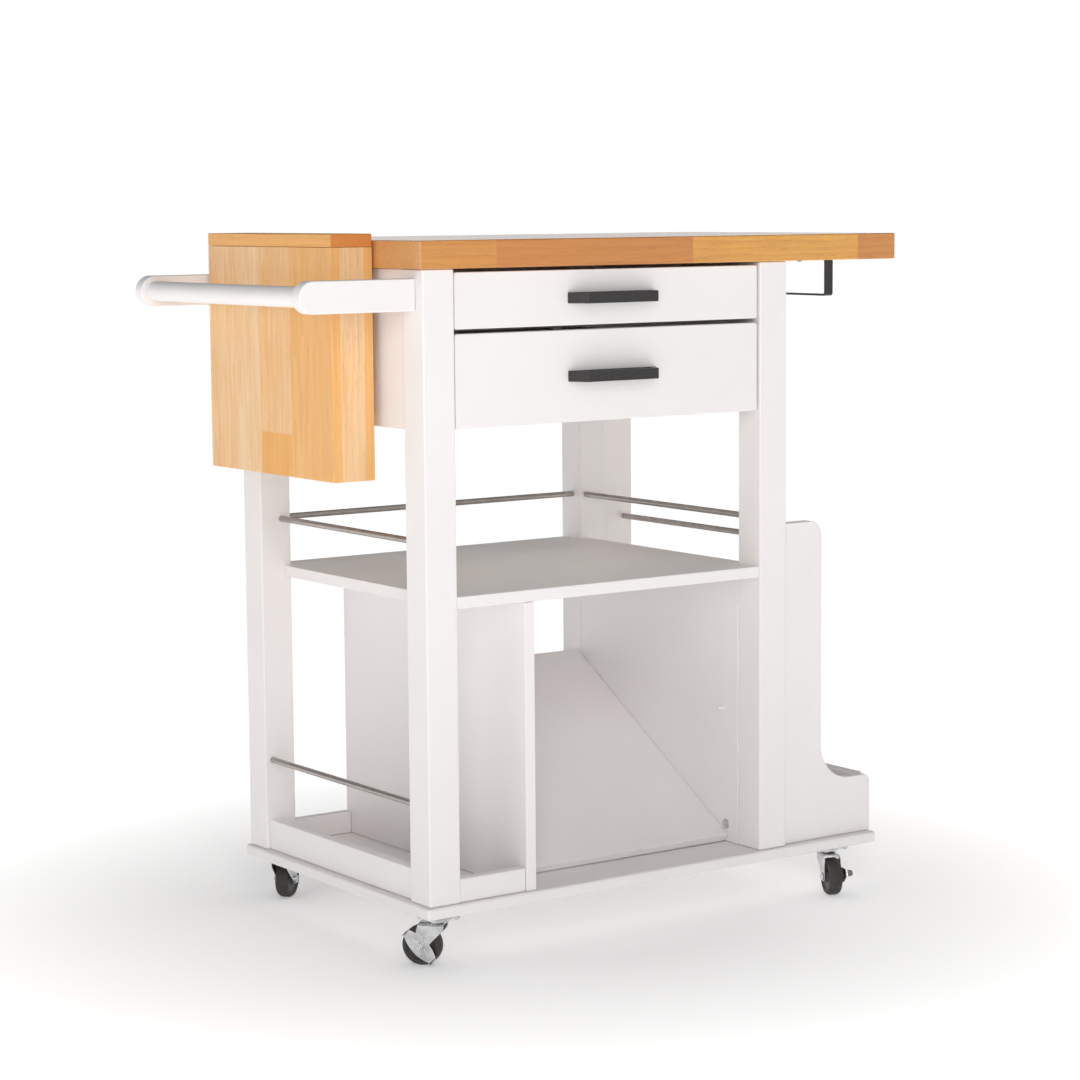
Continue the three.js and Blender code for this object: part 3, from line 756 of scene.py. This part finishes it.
wall_marks = {
    "stave_tint": np.array(wall_tints),
    "stave_offset": draw.uniform(-1, 1, (len(walls), 3)) * (0.09, 0.09, 3.0),
}
piece("knife_block_staves", walls, block_wood, ["knife_block"], marks=wall_marks)
print("block staves and spacers:", len(walls))

# %% Knife block cap
SLOT_WIDTH = 6.0
SLOT_LENGTH = 38.0
FIRST_SLOT, SLOT_PITCH, SLOTS = 145.5, 44.0, 6
slot_centres = FIRST_SLOT + SLOT_PITCH * np.arange(SLOTS)
cap_middle = (cap_low[0] + cap_high[0]) / 2
slot_left = cap_middle - SLOT_LENGTH / 2
slot_right = cap_middle + SLOT_LENGTH / 2
slot_edges = (slot_centres[:, None] + np.array([-0.5, 0.5]) * SLOT_WIDTH).ravel()
cap_runs = [cap_low[1], *slot_edges, cap_high[1]]
cap_shapes = [
    stave(cap_low, (slot_left, cap_high[1], cap_high[2])),
    stave((slot_right, cap_low[1], cap_low[2]), cap_high),
]
for start, end in zip(cap_runs[::2], cap_runs[1::2]):
    cap_shapes.append(stave((slot_left, start, cap_low[2]), (slot_right, end, cap_high[2])))
cap_shapes = [sanded(shape, cap_low, cap_high, 1.5) for shape in cap_shapes]
cap_marks = {
    "stave_tint": np.array([0.75, 0.9] + [1.0] * (len(cap_shapes) - 2)),
    "stave_offset": draw.uniform(-1, 1, (len(cap_shapes), 3)) * 0.3,
}
piece(
    "knife_block_cap_frame",
    cap_shapes,
    cap_wood,
    ["knife_block_cap"],
    marks=cap_marks,
)
print("cap pieces:", len(cap_shapes))

# %% [markdown]
# ## Rods
# Five ground steel rods keep things from falling out. Each is turned as one skin with broken ends, as
# a lathe would leave it, and its scratches run round it.

# %% Rods
for node in ("rod_upper_left", "rod_back", "rod_right_inner", "rod_rack_outer", "rod_lower_left"):
    low, high = corners_of(node)
    run = int(np.argmax(high - low))
    middle = (low + high) / 2
    middle[run] = 0
    radius = (high - low).min() / 2
    profile = spindle([(radius, low[run]), (radius, high[run])], 0.6)
    rod = turned(profile, ALONG_X if run == 0 else ALONG_Y, middle, 32)
    steel = rod_steel_along_x if run == 0 else rod_steel_along_y
    piece(node + "_finished", [rod], steel, [node])
print("rods made")

# %% [markdown]
# ## Drawers
# The box is four thin boards, and the bottom lies under them. Boards with eased edges are enough,
# because the joints of a drawer box hardly show.

# %% Drawer boxes
SIDE = 12.0
for drawer in ("upper", "lower"):
    low, high = corners_of("drawer_box_" + drawer)
    sides = [
        board(low, (low[0] + SIDE, high[1], high[2]), 0.8),
        board((high[0] - SIDE, low[1], low[2]), high, 0.8),
        board((low[0] + SIDE, low[1], low[2]), (high[0] - SIDE, low[1] + SIDE, high[2]), 0.8),
        board((low[0] + SIDE, high[1] - SIDE, low[2]), (high[0] - SIDE, high[1], high[2]), 0.8),
    ]
    node = "drawer_box_" + drawer
    piece(node + "_finished", sides, drawer_foil, [node])
    floor_board = board(*corners_of("drawer_bottom_" + drawer), 0.5)
    piece(
        "drawer_bottom_%s_finished" % drawer,
        [floor_board],
        drawer_foil,
        ["drawer_bottom_" + drawer],
    )
print("drawer sides:", SIDE, "mm thick")

# %% [markdown]
# Each drawer hangs on two slides, and each slide is a fixed channel on the case and a moving one on
# the box, with their open sides facing each other. The section is drawn from the front as a C.


# %% Slides
def channel_outline(low, high, opens_right):
    """A C of folded sheet: two flanges from a wall, at the corner box's left or right side."""
    wall, lip = (low[0], high[0]) if opens_right else (high[0], low[0])
    inner = wall + (SLIDE_SHEET if opens_right else -SLIDE_SHEET)
    corners = [
        (wall, low[2]),
        (lip, low[2]),
        (lip, low[2] + SLIDE_SHEET),
        (inner, low[2] + SLIDE_SHEET),
        (inner, high[2] - SLIDE_SHEET),
        (lip, high[2] - SLIDE_SHEET),
        (lip, high[2]),
        (wall, high[2]),
    ]
    radii = [1.3, 0.4, 0.4, 0.3, 0.3, 0.4, 0.4, 1.3]
    if not opens_right:
        corners, radii = corners[::-1], radii[::-1]
    return rounded(corners, radii)


SLIDE_SHEET = 1.2
for drawer in ("upper", "lower"):
    for kind in ("fixed", "moving"):
        for hand in ("left", "right"):
            node = "slide_%s_%s_%s" % (kind, drawer, hand)
            low, high = corners_of(node)
            outline = channel_outline(low, high, (kind == "fixed") == (hand == "left"))
            channel = plate(outline, high[1] - low[1], 0.2, FROM_FRONT, (0, low[1], 0))
            piece(node + "_finished", [channel], slide_steel, [node])
print("slide length:", round(high[1] - low[1], 1))

# %% [markdown]
# The pull is one cranked bar. Its grip runs across in front and a foot turns back at each end, so its
# outline is drawn from above and given its height.

# %% Pulls
for drawer in ("upper", "lower"):
    node = "pull_" + drawer
    low, high = corners_of(node)
    middle = (low[0] + high[0]) / 2
    back, front = high[1], low[1]
    base, face, foot_inner, face_inner, thick = 68.3, 54.3, 58.5, 47.5, 8.0
    corners = [
        (middle - face, front),
        (middle + face, front),
        (middle + base, back),
        (middle + foot_inner, back),
        (middle + face_inner, front + thick),
        (middle - face_inner, front + thick),
        (middle - foot_inner, back),
        (middle - base, back),
    ]
    outline = rounded(corners, [1.6, 1.6, 0.8, 0.8, 2.5, 2.5, 0.8, 0.8], 6)
    pull = plate(outline, high[2] - low[2], 0.8, AXES, (0, 0, low[2]))
    piece(node + "_finished", [pull], black_coat, [node])
print("drawers made")

# %% [markdown]
# ## Towel rail
# One flat steel strip is bent four times into a hanging U with two flanges turned inwards. Its
# outline is drawn from the side, and a dome screw holds each flange under the worktop.

# %% Towel rail
rail_low, rail_high = corners_of("towel_rail")
STRIP = 2.5
FLANGE = 72.0
SCREW_INSET = 62.0
y0, y1, z0, z1 = rail_low[1], rail_high[1], rail_low[2], rail_high[2]
OUTER_BEND, INNER_BEND = 4.2, 1.8
rail_outline = rounded(
    [
        (y0, z0),
        (y1, z0),
        (y1, z1),
        (y1 - FLANGE, z1),
        (y1 - FLANGE, z1 - STRIP),
        (y1 - STRIP, z1 - STRIP),
        (y1 - STRIP, z0 + STRIP),
        (y0 + STRIP, z0 + STRIP),
        (y0 + STRIP, z1 - STRIP),
        (y0 + FLANGE, z1 - STRIP),
        (y0 + FLANGE, z1),
        (y0, z1),
    ],
    [OUTER_BEND] * 3 + [0.6, 0.6] + [INNER_BEND] * 4 + [0.6, 0.6] + [OUTER_BEND],
    7,
)
rail_axes = [AXES[1], AXES[2], AXES[0]]
strip = plate(rail_outline, rail_high[0] - rail_low[0], 0.5, rail_axes, (rail_low[0], 0, 0))
piece("towel_rail_finished", [strip], black_coat, ["towel_rail"])
DOWNWARDS = [AXES[0], -AXES[1], -AXES[2]]
dome = spindle([(4.6, 0), (4.6, 0.8), (2.2, 2.8)], [0.1, 0.6, 1.6])
rail_middle = (rail_low[0] + rail_high[0]) / 2
domes = [
    turned(dome, DOWNWARDS, (rail_middle, y, z1 - STRIP + 0.2), 32)
    for y in (y0 + SCREW_INSET, y1 - SCREW_INSET)
]
piece("towel_rail_screws", domes, black_coat, body="cart")
print("rail drop:", round(z1 - z0, 1))

# %% [markdown]
# ## Casters
# A caster is a ball-race plate, a stamped fork, a wheel and, at the front, a brake lever. Fork and
# lever are pressed from sheet, so they are made as presswork: a path, a width that changes along it,
# and the sheet's own thickness round it.


# %% Presswork
def pressed(path, path_normals, low, high, sheet, axes, origin):
    """Sheet metal along a path.

    At each station the section is a rounded strip, from low to high across the path and half the
    sheet's thickness to either side of it.
    """
    edge = sheet * 0.3
    angle = np.linspace(0, math.pi / 2, 3)
    arc = np.stack([np.cos(angle), np.sin(angle)], 1)
    signs = np.array([(1, 1), (-1, 1), (-1, -1), (1, -1)])
    quarter = np.array([arc, arc[::-1], arc, arc[::-1]])
    round_off = (quarter * signs[:, None]).reshape(-1, 2)
    sides = np.repeat(signs, 3, axis=0)
    half = np.maximum((high - low) / 2, edge + 0.05)[:, None]
    middle = ((high + low) / 2)[:, None]
    across = middle + sides[:, 0] * (half - edge) + edge * round_off[:, 0]
    out = sides[:, 1] * (sheet / 2 - edge) + edge * round_off[:, 1]
    flat = path[:, None] + out[..., None] * path_normals[:, None]
    rings = np.concatenate([flat, across[..., None]], -1)
    lean = round_off[:, 1][None, :, None] * path_normals[:, None]
    side = np.broadcast_to(round_off[:, 0][None, :, None], lean.shape[:2] + (1,))
    axes = np.asarray(axes, float)
    if np.linalg.det(axes) < 0:
        rings, lean, side = rings[:, ::-1], lean[:, ::-1], side[:, ::-1]
    return skin(rings @ axes + np.asarray(origin, float), np.concatenate([lean, side], -1) @ axes)


def cranked(corners, radii, spacing):
    """An open path through corners with bends: points and normals, filled in to an even spacing."""
    corners = np.asarray(corners, float)
    tangents = np.diff(corners, axis=0)
    tangents /= np.linalg.norm(tangents, axis=1, keepdims=True)
    normals = np.stack([tangents[:, 1], -tangents[:, 0]], 1)
    points, ways = [corners[:1]], [normals[:1]]
    for i, radius in enumerate(radii):
        n1, n2 = normals[i], normals[i + 1]
        side = np.sign(np.cross(tangents[i], tangents[i + 1]))
        centre = corners[i + 1] - side * radius * (n1 + n2) / (1 + n1 @ n2)
        start = math.atan2(n1[1], n1[0])
        swing = (math.atan2(n2[1], n2[0]) - start + math.pi) % (2 * math.pi) - math.pi
        angle = start + swing * np.linspace(0, 1, 7)
        spokes = np.stack([np.cos(angle), np.sin(angle)], 1)
        points.append(centre + side * radius * spokes)
        ways.append(spokes)
    points.append(corners[-1:])
    ways.append(normals[-1:])
    points, ways = np.concatenate(points), np.concatenate(ways)
    run = np.concatenate([[0], np.cumsum(np.linalg.norm(np.diff(points, axis=0), axis=1))])
    wanted = np.unique(np.concatenate([run, np.arange(0, run[-1], spacing)]).round(4))
    points = np.stack([np.interp(wanted, run, points[:, k]) for k in (0, 1)], 1)
    ways = np.stack([np.interp(wanted, run, ways[:, k]) for k in (0, 1)], 1)
    return points, ways / np.linalg.norm(ways, axis=1, keepdims=True)


print("stations on a bent path:", len(cranked([(0, 0), (0, 10), (10, 10)], [3.0], 1.0)[0]))


# %% Caster sizes
# where each caster stands, the way its fork points and how far its lever tips, in degrees
CASTERS = {
    "front_left": (29.0, 24.0, 130.5, 45.0),
    "front_right": (659.0, 25.0, -114.0, 20.0),
    "back_left": (40.0, 427.0, 39.0, None),
    "back_right": (659.0, 427.0, 20.0, None),
}
TRAIL, AXLE_HEIGHT, FORK_TOP, PLATE_TOP = 20.0, 25.0, 55.0, 62.7
FORK_SHEET, FORK_INNER, BOSS = 2.0, 10.25, 6.5
ACROSS_WHEEL = [AXES[2], AXES[0], AXES[1]]
print("wheel diameter:", 2 * AXLE_HEIGHT)


# %% Fork
def fork_shapes(braked):
    """The folded fork, its axle bolt and nut, in the caster's own frame."""
    middle = FORK_INNER + FORK_SHEET / 2
    foot = AXLE_HEIGHT - BOSS + 0.02
    crown = FORK_TOP - FORK_SHEET / 2
    corners = [(-middle, foot), (-middle, crown), (middle, crown), (middle, foot)]
    path, ways = cranked(corners, [4.0, 4.0], 1.5)
    height = np.minimum(path[:, 1], crown)
    boss = np.sqrt(np.maximum(BOSS**2 - (height - AXLE_HEIGHT) ** 2, 0))
    front = np.interp(height, [21.1, 46.0, 51.0, 54.0], [14.8, -9.0, -10.0, -10.0])
    back = np.interp(height, [25.0, 46.0, 54.0], [26.5, 25.0, 22.0])
    low = np.where(height < 21.1, TRAIL - boss, front)
    high = np.where(height < AXLE_HEIGHT, TRAIL + boss, back)
    fork = pressed(path, ways, low, high, FORK_SHEET, [AXES[1], AXES[2], AXES[0]], (0, 0, 0))
    outer = FORK_INNER + FORK_SHEET
    nut_start = outer + 2.1 if braked else outer
    bolt = spindle([(3.0, -outer - 1), (3.0, nut_start + 6)], 0.5)
    head = spindle([(5.4, -outer - 2.6), (5.4, -outer)], [1.2, 0.2])
    washer = spindle([(5.9, nut_start), (5.9, nut_start + 0.8)], 0.2)
    angle = np.arange(6) * math.pi / 3
    hexagon = rounded(np.stack([np.cos(angle), np.sin(angle)], 1) * 5.2, 0.5, 3)
    axle = (TRAIL, 0, AXLE_HEIGHT)
    nut = plate(hexagon, 3.6, 0.5, ACROSS_WHEEL, (TRAIL, nut_start + 0.8, AXLE_HEIGHT))
    return [fork, nut] + [turned(part, ACROSS_WHEEL, axle, 32) for part in (bolt, head, washer)]


print("fork parts:", len(fork_shapes(braked=True)))


# %% [markdown]
# The wheel has a rubber tread with soft shoulders round a dished hub with a raised boss. The plate
# carries the ball race, a shallow pressed bowl, and four pan-head screws. Everything round is a
# profile turned about the axle or the king pin.


# %% Wheel, plate and lever
def wheel_shapes():
    """Tread and hub as two closed rings turned about the axle."""
    half = 9.0
    tread_corners = [(18.0, -8.6), (22.5, -half), (25.0, -5.0), (25.0, 5.0), (22.5, half), (18.0, 8.6)]
    tread = rounded(tread_corners, [0.8, 2.0, 5.0, 5.0, 2.0, 0.8], 6)
    hub_corners = [
        (3.2, -half),
        (8.0, -half),
        (9.5, -7.0),
        (16.0, -7.0),
        (17.9, -8.4),
        (17.9, 8.4),
        (16.0, 7.0),
        (9.5, 7.0),
        (8.0, half),
        (3.2, half),
    ]
    hub = rounded(hub_corners, [0.3, 0.8, 0.8, 0.8, 0.4, 0.4, 0.8, 0.8, 0.8, 0.3], 4)
    axle = (TRAIL, 0, AXLE_HEIGHT)
    return [turned(part, ACROSS_WHEEL, axle, 64, closed=True) for part in (tread, hub)]


def plate_shapes():
    """Top plate, ball race, king pin and screws."""
    half = 21.0
    under = PLATE_TOP - 2.5
    top_plate = plate(
        rounded([(-half, -half), (half, -half), (half, half), (-half, half)], 4.0, 6),
        2.5,
        0.5,
        AXES,
        (0, 0, under),
    )
    bowl = spindle([(13.5, 55.3), (16.0, 57.2), (16.0, under + 0.5)], [1.0, 1.0, 0.1])
    pin_corners = [(5.0, 50.2), (6.6, 51.6), (6.6, 52.6), (4.0, 52.7), (4.0, 56.0)]
    pin = spindle(pin_corners, [0.8, 0.5, 0.1, 0.1, 0.1])
    parts = [top_plate] + [turned(part, AXES, (0, 0, 0), 40) for part in (bowl, pin)]
    screw = spindle([(2.2, -2.2), (3.6, -1.2), (3.6, 0.2)], [1.0, 0.6, 0.1])
    for x in (-16.5, 16.5):
        for y in (-16.5, 16.5):
            parts.append(turned(screw, AXES, (x, y, under), 20))
    return parts


def lever_shapes(tilt):
    """The brake lever: a bulged leaf with a foot flap bent out at each end, tilted on the axle."""
    half, sheet, flap = 24.5, 1.5, 9.0
    narrow, wide, flap_start = 4.5, 11.0, 5.5
    near = FORK_INNER + FORK_SHEET + GAP + sheet / 2
    path, ways = cranked([(-half, flap), (-half, 0), (half, 0), (half, flap)], [2.2, 2.2], 1.6)
    share = np.clip(np.abs(path[:, 0]) / half, 0, 1)
    leaf = narrow + (wide - narrow) * (1 - share**2) ** 0.9
    on_flap = np.clip((path[:, 1] - flap_start) / (flap - flap_start), 0, 1)
    tongue = narrow * np.sqrt(1 - (on_flap * 0.85) ** 2)
    width = np.where(path[:, 1] > flap_start, tongue, leaf)
    path = path + np.stack([np.zeros(len(path)), near * np.ones(len(path))], 1)
    leaf_skin = pressed(path, ways, -width, width, sheet, AXES, (0, 0, 0))
    reach, rise, stations = 15.0, 0.5, 21
    crest = near + 0.45 + rise * np.cos(np.linspace(-1.5, 1.5, stations))
    ridge_path = np.stack([np.linspace(reach, -reach, stations), crest], 1)
    swell = 2.6 * np.cos(np.linspace(-1.45, 1.45, stations))
    upwards = np.tile([0.0, 1.0], (stations, 1))
    ridge = pressed(ridge_path, upwards, -swell, swell, 0.9, AXES, (0, 0, 0))
    a = math.radians(tilt)
    turn = np.array([[math.cos(a), 0, math.sin(a)], [0, 1, 0], [-math.sin(a), 0, math.cos(a)]])
    return [shifted(part, turn, (TRAIL, 0, AXLE_HEIGHT)) for part in (leaf_skin, ridge)]


print("wheel rings:", len(wheel_shapes()), "plate parts:", len(plate_shapes()))


# %% The four casters
def swung(shapes, turn, spot):
    """Shapes in a caster's own frame, turned to its heading and moved to its spot."""
    return [shifted(shape, turn, spot) for shape in shapes]


for name, (x, y, heading, tilt) in CASTERS.items():
    a = math.radians(heading)
    turn = np.array([[math.cos(a), math.sin(a), 0], [-math.sin(a), math.cos(a), 0], [0, 0, 1]])
    spot = (x, y, 0)
    square = swung(plate_shapes(), AXES, spot)
    node = "caster_plate_" + name
    piece(node + "_finished", square, zinc, [node])
    node = "caster_fork_" + name
    fork = swung(fork_shapes(tilt is not None), turn, spot)
    piece(node + "_finished", fork, zinc, [node])
    tread, hub = swung(wheel_shapes(), turn, spot)
    node = "caster_wheel_" + name
    piece(node + "_tread", [tread], tread_rubber, [node])
    piece(node + "_hub", [hub], hub_plastic, body="wheel_" + name)
    if tilt is not None:
        node = "brake_lever_" + name
        lever = swung(lever_shapes(tilt), turn, spot)
        piece(node + "_finished", lever, zinc, [node])
print("casters:", len(CASTERS))

# %% [markdown]
# ## Small fittings
# A cam lock and a shelf peg show on the right panel's inner face, and a black bumper sits on top of
# the lower drawer's front. They are small, but a viewer reads the whole cart's size from them.

# %% Small fittings
CAM_LOCK_PLACE = (75, 102)
PEG_PLACE = (82, 259)
panel_face = corners_of("right_panel")[0][0]
FACING_LEFT = [AXES[2], AXES[1], -AXES[0]]
cam_place = (panel_face, *CAM_LOCK_PLACE)
cam_seat = turned(spindle([(7.0, -0.4), (7.0, 0.3)], 0.2), FACING_LEFT, cam_place, 40)
sector = rounded([(1.1, 1.1), (6.1, 1.1), (4.4, 4.4), (1.1, 6.1)], [0.2, 0.5, 2.0, 0.5], 4)
sectors = [
    plate(sector, 1.0, 0.2, [one, two, -AXES[0]], cam_place)
    for one, two in (
        (AXES[1], AXES[2]),
        (AXES[2], -AXES[1]),
        (-AXES[1], -AXES[2]),
        (-AXES[2], AXES[1]),
    )
]
piece("cam_lock", [cam_seat, *sectors], zinc, body="cart")
peg = turned(spindle([(2.6, -1), (2.6, 7.5)], 0.6), FACING_LEFT, (panel_face, *PEG_PLACE), 24)
piece("shelf_peg", [peg], lacquer, body="cart")
bumper = board((201, 12, 773), (213, 20, 778.5), 0.8)
piece("drawer_bumper", [bumper], tread_rubber, body="drawer_lower")
print("fittings made")

# %% [markdown]
# ## Studio
# The cart stands on a pale floor in even, bright light. Two broad lights stand at the front left, one
# high and one low, and a weaker one stands on either side. The floor glows a little, and less under
# the cart, so that it turns white at a distance but keeps a soft shadow. The surround is white at the
# horizon and dimmer above, so that upward faces don't wash out. The camera stands back with a long
# lens and looks down only a little, so upright edges stay nearly upright.

# %% Floor
NEAR_GLOW = 0.24
FAR_GLOW = 0.78
HORIZON_GLOW = 1.03
SKY_GLOW = 0.25
FLOOR_REACH = 30
scene = bpy.context.scene
floor_mesh = bpy.data.meshes.new("studio_floor")
floor_corners = [(x * FLOOR_REACH, y * FLOOR_REACH, 0) for x, y in ((-1, -1), (1, -1), (1, 1), (-1, 1))]
floor_mesh.from_pydata(floor_corners, [], [(0, 1, 2, 3)])
floor_finish, floor_shader, floor_place = new_finish("studio_floor", (0.93, 0.93, 0.93), 0.8)
floor_shader.inputs["Emission Color"].default_value = (1, 0.995, 0.99, 1)
distance = add(floor_finish, "VectorMath", {0: floor_place}, operation="LENGTH").outputs["Value"]
glow = ranged(floor_finish, distance, NEAR_GLOW, FAR_GLOW, 0.3, 0.95)
connect(floor_finish, glow, floor_shader, "Emission Strength")
floor_mesh.materials.append(floor_finish)
floor = bpy.data.objects.new("studio_floor", floor_mesh)
scene.collection.objects.link(floor)
print("floor glow:", NEAR_GLOW, "to", FAR_GLOW)

# %% Surround and lights
world = bpy.data.worlds.new("studio_surround")
world.use_nodes = True
background = world.node_tree.nodes["Background"]
background.inputs["Color"].default_value = (0.985, 0.995, 1, 1)
direction = world.node_tree.nodes.new("ShaderNodeTexCoord").outputs["Generated"]
upright = add(world, "SeparateXYZ", {"Vector": direction}).outputs["Z"]
connect(world, ranged(world, upright, HORIZON_GLOW, SKY_GLOW, 0.08, 0.22), background, "Strength")
scene.world = world


def soft_light(name, place, aim, size, watts):
    """A square area light at a place, facing a point."""
    lamp = bpy.data.lights.new(name, "AREA")
    lamp.energy = watts
    lamp.size = size
    made = bpy.data.objects.new(name, lamp)
    scene.collection.objects.link(made)
    made.location = place
    way = np.asarray(aim, float) - np.asarray(place, float)
    made.rotation_euler = Vector(way).to_track_quat("-Z", "Y").to_euler()


soft_light("high_front_light", (-1.7, -2.9, 2.1), (0, 0, 0.3), 1.2, 18)
soft_light("low_front_light", (-1.9, -2.8, 0.85), (0, 0, 0.3), 1.2, 16)
soft_light("left_light", (-3.2, -0.7, 1.2), (0, 0, 0.5), 1.0, 5)
soft_light("right_light", (3.2, -0.7, 1.5), (0, 0, 0.4), 1.4, 6)
scene.view_settings.view_transform = "Standard"
print("lights:", len(bpy.data.lights))

# %% Camera
SENSOR_WIDTH = 36.0
FOCAL_IN_WIDTHS = 2.6238
camera_data = bpy.data.cameras.new("camera")
camera_data.sensor_width = SENSOR_WIDTH
camera_data.lens = SENSOR_WIDTH * FOCAL_IN_WIDTHS
camera = bpy.data.objects.new("camera", camera_data)
scene.collection.objects.link(camera)
camera.location = to_frame((-1821.0, -2833.9, 928.2))
yaw, pitch, roll = np.radians([35.086, -6.751, -0.457])
look = (
    Matrix.Rotation(-yaw, 4, "Z")
    @ Matrix.Rotation(math.pi / 2 + pitch, 4, "X")
    @ Matrix.Rotation(roll, 4, "Z")
)
camera.rotation_euler = look.to_euler()
scene.camera = camera
print("lens:", round(camera_data.lens, 1), "mm")
